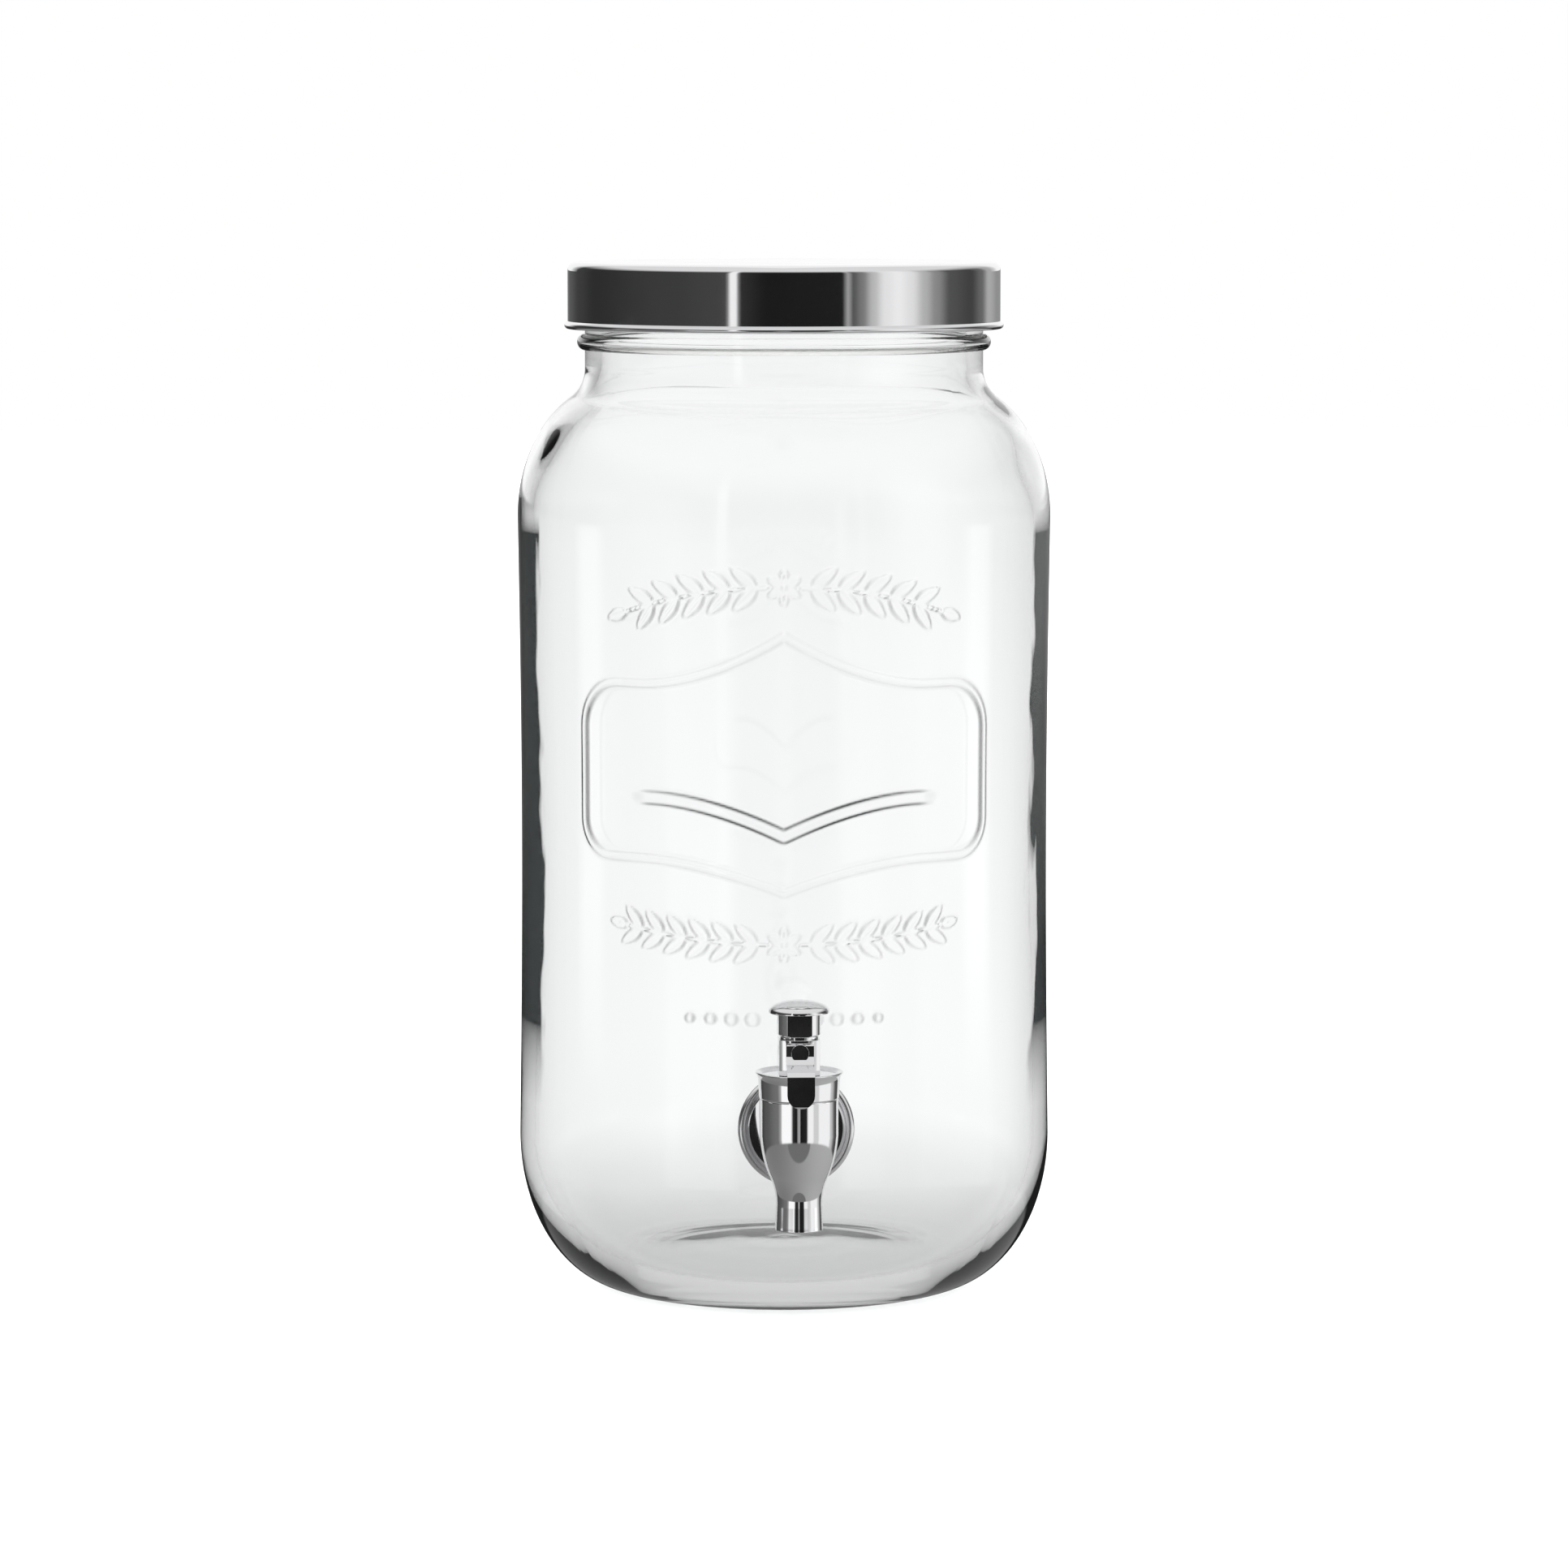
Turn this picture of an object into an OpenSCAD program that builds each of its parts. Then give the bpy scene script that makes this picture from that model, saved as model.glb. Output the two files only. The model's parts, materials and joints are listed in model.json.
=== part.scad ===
// Drinks dispenser: a mason-style glass jar with a screw lid and a chromed lever tap.
// The origin is the centre of the jar's foot, +Z is up and the tap points along -Y.

/* [Jar] */
// Radius of the glass at its widest
jar_r = 82.5; // [80:0.5:86]
// Height of the glass from foot to rim
jar_h = 314; // [308:1:320]
// Thickness of the side wall
jar_wall = 5; // [4:0.25:5.5]
// Radius of the ring that the jar stands on
foot_r = 50.5; // [46:0.5:55]
// Height of the rounded heel
heel_h = 47; // [42:1:50]
// How far the middle of the side wall sinks in
panel_recess = 0.9; // [0:0.1:1.2]
// Radius of the neck under the lid
neck_r = 61.5; // [60.5:0.5:62.5]

/* [Lid] */
// Radius of the lid's side
lid_r = 66.8; // [66.8:0.2:68]
// Height of the lid
lid_h = 20.4; // [20:0.2:21]
// Thickness of the lid's metal shell
shell_t = 0.6; // [0.4:0.1:0.8]
// Rise of the neck thread in one turn
thread_lead = 6; // [5.5:0.25:6.5]

/* [Tap] */
// Height of the tap hole above the foot
tap_z = 61.4; // [58:0.2:66]
// Distance from the jar's axis to the tap barrel's axis
tap_reach = 106; // [104:0.5:110]
// Radius of the hole in the glass
hole_r = 8; // [8:0.1:8.5]
// Radius of the tap's barrel
barrel_r = 11.65; // [11.4:0.05:12]
// Radius of the spout at its waist
spout_r = 6.85; // [6.6:0.05:7.2]
// Radius of the round plate behind the tap
flange_r = 17.5; // [16.5:0.5:19]

/* [Lever] */
// Width across the lever's fork
fork_w = 12; // [11.5:0.1:12.5]
// Radius of the thumb cap
cap_r = 9; // [8:0.25:10]
// How far the lever tips back to open the tap
tilt_max = 45; // [30:1:45]
// How far the valve lifts when the tap is open
lift = 3.6; // [3:0.1:3.8]

/* [Hidden] */

$fn = 96;
over = 1; // how far a cut runs past the face it cuts

// jar
floor_t = 7;
floor_dome = 3;
floor_r = foot_r - 2; // where the floor inside meets the heel's curve
foot_in_r = 44.5;
punt_h = 4.5;
shoulder_h = 42;
shoulder_w = 33;
shoulder_z = jar_h - 74;
blend_from = 60; // angle on the shoulder ellipse where the fillet to the neck starts
bead_z = jar_h - 20.5;
bead_h = 2.5;
bead_out = 2.4;
rim_round = 1.5;
bore_r = neck_r - jar_wall;
pad_out_y = jar_r + 0.7;
pad_in_y = jar_r - jar_wall - 2;
pad_root_y = jar_r - jar_wall / 2; // both pads are rooted in the middle of the wall
pad_out_r = 16.5;
pad_in_r = 14;

// neck thread: a ridge on the glass above a matching ridge inside the lid
ridge_h = 1.5;
lid_ridge_h = 1.3;
ridge_root = 2.6;
ridge_crest = 1.2;
ridge_sink = 0.4; // how deep a ridge is rooted in its wall
ridge_fade = 25; // degrees over which a ridge dies away at its ends
ridge_step = 7.5;
jar_thread_z = jar_h - 11;
jar_thread_a = [0, 450];
lid_thread_a = [90, 450];

// lid
lid_top = jar_h + 4;
lid_bottom = lid_top - lid_h;
corner_r = 2.5;
curl_r = 1;
insert_r = lid_r - shell_t - 0.1;
insert_in_r = neck_r + 2;
insert_low = lid_bottom + 2.2;
gasket_t = 1.6;
gasket_r = insert_in_r - 0.2;
gasket_in_r = bore_r - 0.5;
insert_top = lid_top - shell_t - 0.05;

// clamped stack through the tap hole, as distances from the jar's axis
outer_gasket_t = 1.8;
inner_gasket_t = 2.2;
inner_washer_t = 1.2;
lock_nut_t = 6.5;
flange_t = 2.8;
flange_edge = 1.4; // radius that rounds the plate's front edge
rim_w = 2.4; // from the plate's edge to the inside of its raised rim
dish_w = 5.5; // from the plate's edge to the flat floor of its dish
dish_d = 1.2;
flange_y = pad_out_y + outer_gasket_t;
shoulder_y = flange_y + flange_t - dish_d;
washer_y = pad_in_y - inner_gasket_t;
nut_y = washer_y - inner_washer_t;
shank_end_y = nut_y - lock_nut_t - 4.5;
outer_gasket_r = 15;
inner_gasket_r = 13.5;
inner_washer_r = 12.5;
nut_r = 13.8; // to the nut's corners
nut_chamfer = [1.6, 1.2];
shank_r = 7.8;
collar_r = 8.6;
inlet_r = 3.9;
seal_fit = 0.1; // radial clearance of the gaskets and the plate on the shank

// tap barrel, measured up from the tap hole's height
bowl_z = tap_z + 1.2;
barrel_top = tap_z + 12.4;
spout_end = tap_z - 27.2;
bowl_h = 18.7;
bowl_blend = 42; // angle on the bowl's ellipse where the fillet to the spout starts
spout_flare = 0.25;
outlet_r = 4.7;
seat_z = tap_z - 11.6;
seat_h = 2.8;
chamber_r = 7.4;
ledge_z = tap_z + 4.2;
socket_r = 9;

// bonnet
spigot_r = socket_r - 0.05;
seal_t = 0.8;
bonnet_low_r = 12;
bonnet_rim_r = 12.95;
bonnet_top = barrel_top + 7.9;
bonnet_floor = bonnet_top - 0.8;
bonnet_lip = 0.3; // chamfer outside the bonnet's rim
bonnet_lip_w = 0.9;
bonnet_dish_w = 1.7;
guide_low = bonnet_floor - 4.9;
pocket_r = 5.6;

// valve
stem_r = 3;
stem_fit = 0.05; // radial clearance of the stem in its guide and on its pin
cup_r = 6.2;
cup_gap = 0.1;
cup_top = tap_z - 4.4;
cup_nose_r = 3;
cup_nose = 1.4; // how far the cup's nose reaches below the seat
cup_edge = 0.6;
barb_r = 2.2;
barb_low = cup_top - 5;
plate_r = 5.4;
plate_t = 1.4;
ring_r = 0.36;
ring_z = guide_low + 0.7;
groove_h = 1;
wire_r = 0.45;
coil_r = 4.55;
coil_turns = 7;
coil_steps = 16; // rings of the swept wire in one turn
coil_gap = 0.02;

// lever, drawn with the pin at its origin and tipping towards +Y
cam_h = 7.1; // from the bonnet's floor up to the pin
pivot_z = bonnet_floor + cam_h;
pin_r = 1.5;
cam_gap = 0.1;
cam_rate = lift / tilt_max; // valve lift per degree, so the foot is an involute
cam_reach = cam_rate * 180 / PI;
slot_half = stem_r + 0.3;
slot_deep = 12;
eye_r = stem_r + 0.1;
slot_r = eye_r + 0.3;
neck_low = 2.5;
neck_in_r = 5.9;
groove_top = 4.4;
cap_low = 11.2;
cap_top = 14.8;
grip_r = 6.45;
flat_y = 5.3;
fork_back = 4.2; // how far the fork's round back is behind the grip's
boss_r = 2.6;
boss_front = 8.1;
strap_w = 8.2;
strap_round = 0.6;
strap_top = 2.8;
strap_front = bonnet_rim_r + 2.25;
strap_back = bonnet_rim_r + 0.45;
strap_low = -15.5;
rim_clear = bonnet_top - pivot_z + 0.2;

function arc(cx, cy, rx, ry, from, to, n) =
    [for (i = [0:n]) let (a = from + (to - from) * i / n) [cx + rx * cos(a), cy + ry * sin(a)]];

// An ellipse that runs from its widest point to angle `to`, then a fillet that ends upright at radius `neck`
function shoulder(cx, rx, ry, to, neck, n) =
    let (
        end = [cx + rx * cos(to), ry * sin(to)],
        lean = atan2(rx * sin(to), ry * cos(to)),
        fillet = (end[0] - neck) / (1 - cos(lean)),
        top = end[1] + fillet * sin(lean)
    )
    concat(
        arc(cx, 0, rx, ry, 0, to, n),
        [for (i = [1:6]) let (a = lean * (1 - i / 6)) [neck + fillet * (1 - cos(a)), top - fillet * sin(a)]]
    );

function raise(points, z) = [for (p = points) [p[0], z + p[1]]];
function drop(points, z) = [for (p = points) [p[0], z - p[1]]];
function reversed(points) = [for (i = [len(points) - 1:-1:0]) points[i]];

// Side wall between heel and shoulder: a shallow hollow
function panel(inset) =
    [for (i = [1:9]) let (t = i / 10)
        [jar_r - inset - panel_recess * sin(180 * t), heel_h + (shoulder_z - heel_h) * t]];

// A shallow dome from radius r0 in to the axis
function dome(r0, low, rise) = [for (i = [0:5]) let (t = 1 - i / 5) [r0 * t, low + rise * (1 - t * t)]];

// Joins a row of matching rings into one solid
module sweep(rings) {
    m = len(rings[0]);
    n = len(rings);
    polyhedron(
        points = [for (ring = rings) each ring],
        faces = concat(
            [[for (j = [m - 1:-1:0]) j]],
            [[for (j = [0:m - 1]) (n - 1) * m + j]],
            [for (i = [0:n - 2], j = [0:m - 1]) [i * m + j, (i + 1) * m + (j + 1) % m, (i + 1) * m + j]],
            [for (i = [0:n - 2], j = [0:m - 1]) [i * m + j, i * m + (j + 1) % m, (i + 1) * m + (j + 1) % m]]
        )
    );
}

// A screw ridge whose root is at radius r, standing out by h, or inwards where h is negative
module ridge(r, h, z, span) {
    steps = (span[1] - span[0]) / ridge_step;
    sweep([for (i = [0:steps])
        let (
            a = span[0] + i * ridge_step,
            fade = min(1, (a - span[0]) / ridge_fade + 0.1, (span[1] - a) / ridge_fade + 0.1),
            mid = z + thread_lead * a / 360,
            root = r - sign(h) * ridge_sink,
            crest = r + h * fade,
            section = [[root, -ridge_root], [crest, -ridge_crest], [crest, ridge_crest], [root, ridge_root]]
        )
        [for (p = h > 0 ? section : reversed(section)) [p[0] * cos(a), p[0] * sin(a), mid + p[1] / 2]]
    ]);
}

// Places its children, drawn along +Z, so that they point from the jar's axis out through the tap hole
module through_hole() {
    translate([0, 0, tap_z]) rotate([90, 0, 0]) children();
}

// A ring through the tap hole, from distance y0 out to y1
module hole_ring(r_out, r_in, y0, y1) {
    through_hole() difference() {
        translate([0, 0, y0]) cylinder(r = r_out, h = y1 - y0);
        translate([0, 0, y0 - over]) cylinder(r = r_in, h = y1 - y0 + 2 * over);
    }
}

module on_barrel_axis() {
    translate([0, -tap_reach, 0]) children();
}

// Places its children, drawn in the lever's side view and extruded by w, across the pin
module across_pin(w) {
    translate([-w / 2, -tap_reach, pivot_z]) rotate([90, 0, 90]) linear_extrude(w) children();
}

module jar() {
    color("whitesmoke", 0.4) difference() {
        union() {
            rotate_extrude() polygon(concat(
                arc(foot_r, heel_h, jar_r - foot_r, heel_h, -90, 0, 12),
                panel(0),
                raise(shoulder(jar_r - shoulder_w, shoulder_w, shoulder_h, blend_from, neck_r, 10),
                    shoulder_z),
                arc(neck_r, bead_z, bead_out, bead_h, -90, 90, 8),
                arc(neck_r - rim_round, jar_h - rim_round, rim_round, rim_round, 0, 90, 4),
                arc(bore_r + rim_round, jar_h - rim_round, rim_round, rim_round, 90, 180, 4),
                reversed(raise(
                    shoulder(jar_r - shoulder_w, shoulder_w - jar_wall, shoulder_h - jar_wall,
                        blend_from, bore_r, 10),
                    shoulder_z
                )),
                reversed(panel(jar_wall)),
                reversed(arc(floor_r, heel_h, jar_r - jar_wall - floor_r, heel_h - floor_t, -90, 0, 12)),
                [for (p = dome(floor_r, floor_t, floor_dome)) if (p[0] < floor_r - 1) p],
                reversed(dome(foot_in_r, 0, punt_h))
            ));
            through_hole() translate([0, 0, pad_root_y]) cylinder(r = pad_out_r, h = pad_out_y - pad_root_y);
            through_hole() translate([0, 0, pad_in_y]) cylinder(r = pad_in_r, h = pad_root_y - pad_in_y);
            ridge(neck_r, ridge_h, jar_thread_z, jar_thread_a);
        }
        through_hole() translate([0, 0, pad_in_y - over])
            cylinder(r = hole_r, h = pad_out_y - pad_in_y + 2 * over);
    }
}

module lid_shell() {
    color("silver") {
        rotate_extrude() polygon(concat(
            [[lid_r - shell_t, lid_bottom + curl_r], [lid_r, lid_bottom + curl_r]],
            arc(lid_r - corner_r, lid_top - corner_r, corner_r, corner_r, 0, 90, 6),
            [[0, lid_top], [0, lid_top - shell_t]],
            arc(lid_r - corner_r, lid_top - corner_r, corner_r - shell_t, corner_r - shell_t, 90, 0, 6)
        ));
        translate([0, 0, lid_bottom + curl_r]) rotate_extrude()
            translate([lid_r, 0]) circle(r = curl_r, $fn = 24);
    }
}

module lid_insert() {
    color("white") {
        rotate_extrude() polygon([
            [insert_in_r, insert_low], [insert_r, insert_low], [insert_r, insert_top - corner_r],
            [insert_r - corner_r, insert_top], [0, insert_top],
            [0, jar_h + gasket_t], [insert_in_r, jar_h + gasket_t]
        ]);
        ridge(insert_in_r, -lid_ridge_h, jar_thread_z - thread_lead / 2, lid_thread_a);
    }
}

module lid_gasket() {
    color("gainsboro") difference() {
        translate([0, 0, jar_h]) cylinder(r = gasket_r, h = gasket_t);
        translate([0, 0, jar_h - over]) cylinder(r = gasket_in_r, h = gasket_t + 2 * over);
    }
}

// Round plate with a raised rim and a dished face
module tap_flange() {
    color("silver") through_hole() translate([0, 0, flange_y]) rotate_extrude() polygon(concat(
        [[shank_r + seal_fit, 0], [flange_r - 0.6, 0]],
        arc(flange_r - flange_edge, flange_t - flange_edge, flange_edge, flange_edge, 0, 90, 5),
        [[flange_r - rim_w, flange_t], [flange_r - dish_w, flange_t - dish_d],
            [shank_r + seal_fit, flange_t - dish_d]]
    ));
}

module outer_gasket() {
    color("gainsboro") hole_ring(outer_gasket_r, hole_r + seal_fit, pad_out_y, flange_y);
}

module inner_gasket() {
    color("gainsboro") hole_ring(inner_gasket_r, hole_r + seal_fit, washer_y, pad_in_y);
}

module inner_washer() {
    color("white") hole_ring(inner_washer_r, hole_r + seal_fit, nut_y, washer_y);
}

module lock_nut() {
    color("darkgray") through_hole() translate([0, 0, nut_y - lock_nut_t]) difference() {
        intersection() {
            cylinder(r = nut_r, h = lock_nut_t, $fn = 6);
            rotate_extrude() polygon([
                [0, 0], [nut_r - nut_chamfer[0], 0], [nut_r, nut_chamfer[1]],
                [nut_r, lock_nut_t], [0, lock_nut_t]
            ]);
        }
        translate([0, 0, -over]) cylinder(r = shank_r + stem_fit, h = lock_nut_t + 2 * over);
    }
}

// Barrel, bowl and spout in one casting with the hollow shank that goes through the glass
module tap_body() {
    color("silver") difference() {
        union() {
            on_barrel_axis() rotate_extrude() polygon(concat(
                [[0, barrel_top], [barrel_r, barrel_top]],
                drop(shoulder(0, barrel_r, bowl_h, bowl_blend, spout_r, 10), bowl_z),
                [[spout_r + spout_flare, spout_end], [0, spout_end]]
            ));
            through_hole() translate([0, 0, shoulder_y])
                cylinder(r = collar_r, h = tap_reach - shoulder_y - 2);
            through_hole() translate([0, 0, shank_end_y])
                cylinder(r = shank_r, h = tap_reach - shank_end_y - 2);
        }
        on_barrel_axis() rotate_extrude() polygon([
            [0, spout_end - over], [outlet_r, spout_end - over], [outlet_r, seat_z],
            [chamber_r, seat_z + seat_h], [chamber_r, ledge_z], [socket_r, ledge_z],
            [socket_r, barrel_top + over], [0, barrel_top + over]
        ]);
        through_hole() translate([0, 0, shank_end_y - over])
            cylinder(r = inlet_r, h = tap_reach - shank_end_y);
    }
}

module bonnet() {
    color("silver") on_barrel_axis() rotate_extrude() polygon([
        [stem_r + stem_fit, guide_low], [pocket_r, guide_low], [pocket_r, ledge_z + seal_t],
        [spigot_r, ledge_z + seal_t], [spigot_r, barrel_top], [bonnet_low_r, barrel_top],
        [bonnet_rim_r, bonnet_top - 2 * bonnet_lip], [bonnet_rim_r - bonnet_lip, bonnet_top],
        [bonnet_rim_r - bonnet_lip_w, bonnet_top], [bonnet_rim_r - bonnet_dish_w, bonnet_floor],
        [stem_r + stem_fit, bonnet_floor]
    ]);
}

module bonnet_seal() {
    color("dimgray") on_barrel_axis() translate([0, 0, ledge_z]) difference() {
        cylinder(r = spigot_r, h = seal_t);
        translate([0, 0, -over]) cylinder(r = chamber_r + 0.1, h = seal_t + 2 * over);
    }
}

// Rod with a barb for the seat cup, a plate for the spring, a seal groove and an eye for the pin
module valve_stem() {
    color("silver") difference() {
        union() {
            on_barrel_axis() rotate_extrude() polygon([
                [0, barb_low], [barb_r, barb_low], [barb_r, cup_top], [plate_r, cup_top],
                [plate_r, cup_top + plate_t], [stem_r, cup_top + plate_t], [stem_r, ring_z - groove_h / 2],
                [stem_r - 2 * ring_r, ring_z - groove_h / 2], [stem_r - 2 * ring_r, ring_z + groove_h / 2],
                [stem_r, ring_z + groove_h / 2], [stem_r, pivot_z], [0, pivot_z]
            ]);
            intersection() {
                on_barrel_axis() translate([0, 0, pivot_z - pin_r]) cylinder(r = stem_r, h = 2 * eye_r);
                across_pin(fork_w) circle(r = eye_r);
            }
        }
        across_pin(fork_w) circle(r = pin_r + stem_fit);
    }
}

module stem_o_ring() {
    color("dimgray") on_barrel_axis() translate([0, 0, ring_z]) rotate_extrude()
        translate([stem_r - ring_r + 0.01, 0]) circle(r = ring_r, $fn = 24);
}

// Height of the cup's cone at radius r, parallel to the seat
function cup_face(r) = seat_z + cup_gap + (r - outlet_r) * seat_h / (chamber_r - outlet_r);

// Soft plug on the stem that closes the conical seat
module seat_cup() {
    color("gainsboro") on_barrel_axis() rotate_extrude() polygon([
        [0, seat_z - cup_nose], [cup_nose_r, seat_z - cup_nose],
        [outlet_r - 0.7, cup_face(outlet_r - 0.7)], [cup_r, cup_face(cup_r)],
        [cup_r, cup_top - cup_edge], [cup_r - cup_edge, cup_top],
        [barb_r, cup_top], [barb_r, barb_low], [0, barb_low]
    ]);
}

module return_spring() {
    low = cup_top + plate_t + wire_r + coil_gap;
    high = guide_low - wire_r - coil_gap;
    steps = coil_turns * coil_steps;
    color("gray") on_barrel_axis() sweep([for (i = [0:steps])
        let (a = 360 * i / coil_steps, z = low + (high - low) * i / steps)
        [for (b = [0:45:315])
            [(coil_r + wire_r * cos(b)) * cos(a), (coil_r + wire_r * cos(b)) * sin(a), z + wire_r * sin(b)]]
    ]);
}

// Fork outline in side view: its foot is a cam that lifts the pin steadily as the lever tips back
module fork_side() {
    polygon(concat(
        [[-grip_r, cam_gap + 0.8 - cam_h], [-grip_r + 0.8, cam_gap - cam_h]],
        [for (a = [0:5:tilt_max])
            let (h = cam_h - cam_gap + cam_rate * a)
            [h * sin(a) + cam_reach * cos(a), cam_reach * sin(a) - h * cos(a)]],
        [[10.4, -2], [grip_r, 1.5], [grip_r, neck_low + over], [-grip_r, neck_low + over]]
    ));
}

// Space inside the fork for the stem's eye, which swings back as the lever tips
module fork_slot() {
    polygon(concat(
        [[-slot_r, -slot_deep], [-slot_r, 0]],
        arc(0, 0, slot_r, slot_r, 180, 45, 9),
        [[slot_r * cos(45) + slot_deep, slot_r * sin(45) - slot_deep]]
    ));
}

// Strap that comes over the bonnet's rim and hangs in front of it as the lever's stop
module strap_side() {
    polygon([
        [-5, strap_top], [-6.9, strap_top], [-7.5, strap_top - strap_round], [-7.5, -1], [-9, -3.2], [-12, -4],
        [-strap_front + 0.9, -4.7],
        [-strap_front, -6], [-strap_front, strap_low + strap_round], [-strap_front + strap_round, strap_low],
        [-strap_back, strap_low], [-strap_back, rim_clear - strap_round], [-strap_back + strap_round, rim_clear],
        [-5, rim_clear]
    ]);
}

module strap_front_view() {
    polygon(concat(
        [[strap_w / 2, strap_top - strap_round], [strap_w / 2 - strap_round, strap_top],
            [strap_round - strap_w / 2, strap_top], [-strap_w / 2, strap_top - strap_round]],
        arc(0, strap_low + strap_w / 2, strap_w / 2, strap_w / 2, 180, 360, 12)
    ));
}

module lever() {
    color("silver") difference() {
        union() {
            intersection() {
                across_pin(fork_w) fork_side();
                translate([0, fork_back - tap_reach, pivot_z - 10]) cylinder(r = grip_r + fork_back, h = 20);
            }
            intersection() {
                across_pin(strap_w) strap_side();
                translate([0, -tap_reach, pivot_z]) rotate([90, 0, 0]) linear_extrude(20) strap_front_view();
            }
            difference() {
                translate([0, -tap_reach, pivot_z]) rotate_extrude() polygon(concat(
                    [[0, neck_low], [neck_in_r, neck_low], [neck_in_r, groove_top], [grip_r, groove_top + 0.4],
                        [grip_r, cap_low + 0.3], [cap_r, cap_low], [cap_r, cap_low + 0.4]],
                    arc(0, cap_low + 0.4, cap_r, cap_top - cap_low - 0.4, 0, 90, 10)
                ));
                for (side = [-1, 1])
                    translate([-8, side * (flat_y + 4) - 4 - tap_reach, pivot_z + groove_top])
                        cube([16, 8, cap_low - groove_top - 0.2]);
            }
            translate([0, -tap_reach - 6, pivot_z]) rotate([90, 0, 0])
                cylinder(r = boss_r, h = boss_front - 6);
        }
        across_pin(2 * slot_half) fork_slot();
        across_pin(fork_w + 2) circle(r = pin_r);
    }
}

module pivot_pin() {
    color("silver") across_pin(fork_w) circle(r = pin_r);
}

jar();
lid_shell();
lid_insert();
lid_gasket();
tap_flange();
tap_body();
outer_gasket();
inner_gasket();
inner_washer();
lock_nut();
bonnet();
bonnet_seal();
valve_stem();
stem_o_ring();
seat_cup();
return_spring();
lever();
pivot_pin();
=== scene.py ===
"""The looks of the glass drinks dispenser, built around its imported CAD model. Blender 4.5, metres."""

import json
import math
from functools import partial

import bmesh
import bpy
import numpy as np
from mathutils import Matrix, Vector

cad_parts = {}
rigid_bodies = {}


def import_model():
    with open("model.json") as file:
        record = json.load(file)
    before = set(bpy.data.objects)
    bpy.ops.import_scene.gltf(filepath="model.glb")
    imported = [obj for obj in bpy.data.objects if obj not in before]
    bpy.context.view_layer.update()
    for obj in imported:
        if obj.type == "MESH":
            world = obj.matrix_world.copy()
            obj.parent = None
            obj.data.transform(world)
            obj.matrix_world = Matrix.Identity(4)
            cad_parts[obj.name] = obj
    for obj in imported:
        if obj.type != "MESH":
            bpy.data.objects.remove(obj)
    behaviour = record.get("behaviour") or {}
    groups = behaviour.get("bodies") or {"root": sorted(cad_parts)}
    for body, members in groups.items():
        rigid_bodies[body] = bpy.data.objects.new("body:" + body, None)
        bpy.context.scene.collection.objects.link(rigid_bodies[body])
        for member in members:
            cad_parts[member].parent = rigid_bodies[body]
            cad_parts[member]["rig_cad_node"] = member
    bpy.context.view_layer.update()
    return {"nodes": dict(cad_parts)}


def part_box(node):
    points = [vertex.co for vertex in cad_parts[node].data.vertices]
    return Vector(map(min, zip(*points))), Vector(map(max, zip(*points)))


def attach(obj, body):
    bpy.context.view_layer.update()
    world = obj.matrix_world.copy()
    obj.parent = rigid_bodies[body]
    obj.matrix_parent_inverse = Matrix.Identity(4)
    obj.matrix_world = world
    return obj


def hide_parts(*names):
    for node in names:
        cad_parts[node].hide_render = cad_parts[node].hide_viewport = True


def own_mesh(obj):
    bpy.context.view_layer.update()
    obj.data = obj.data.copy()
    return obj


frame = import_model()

MM = 0.001
scene = bpy.context.scene

# ---------------------------------------------------------------- sizes, in millimetres


def box_mm(node):
    low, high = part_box(node)
    return np.array(low) / MM, np.array(high) / MM


_, JAR_HIGH = box_mm("jar")
LID_LOW, LID_HIGH = box_mm("lid_shell")
FLANGE_LOW, FLANGE_HIGH = box_mm("tap_flange")
BODY_LOW, BODY_HIGH = box_mm("tap_body")
BONNET_LOW, BONNET_HIGH = box_mm("bonnet")
PIN_LOW, PIN_HIGH = box_mm("pivot_pin")

# jar: its foot, heel, upright side, shoulder, neck, bead, thread and rim, then its floor and tap hole
JAR_R = JAR_HIGH[0]
RIM_Z = JAR_HIGH[2]
WALL = 5.0
FOOT_R = 50.5
FOOT_IN_R = 44.5
HEEL_H = 47.0
SHOULDER_Z = RIM_Z - 74.0
SHOULDER_W, SHOULDER_H = 33.0, 42.0
BLEND_FROM = 60.0
RECESS = 0.9
NECK_R = 61.5
BEAD_Z = RIM_Z - 20.5
BEAD_OUT, BEAD_H = 2.4, 2.5
RIM_ROUND = 1.5
FLOOR_T, FLOOR_DOME, PUNT_H = 7.0, 3.0, 4.5
FLOOR_RING, FLOOR_RING_STEP = 0.05, 16.0
THREAD_Z, THREAD_LEAD, THREAD_TURNS = RIM_Z - 11.0, 6.0, 1.25
THREAD_H, THREAD_HALF, THREAD_EDGE = 1.45, 1.4, 0.8
THREAD_FADE = 25  # degrees over which the thread rises at either end
SHOULDER_WAVE, WAVE_ABOVE, WAVE_REACH = 0.25, 22.0, 15.0
TAP_Z = (FLANGE_LOW[2] + FLANGE_HIGH[2]) / 2
HOLE_R = 8.0
PAD_OUT_Y, PAD_OUT_R = JAR_R + 0.7, 16.5
PAD_IN_Y, PAD_IN_R = JAR_R - WALL - 2.0, 14.0

# lid
SHELL_T, LID_CORNER, LID_CURL = 0.6, 2.5, 1.0
LID_R = LID_HIGH[0] - LID_CURL
LID_TOP = LID_HIGH[2]
LID_BOTTOM = LID_LOW[2]

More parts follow.
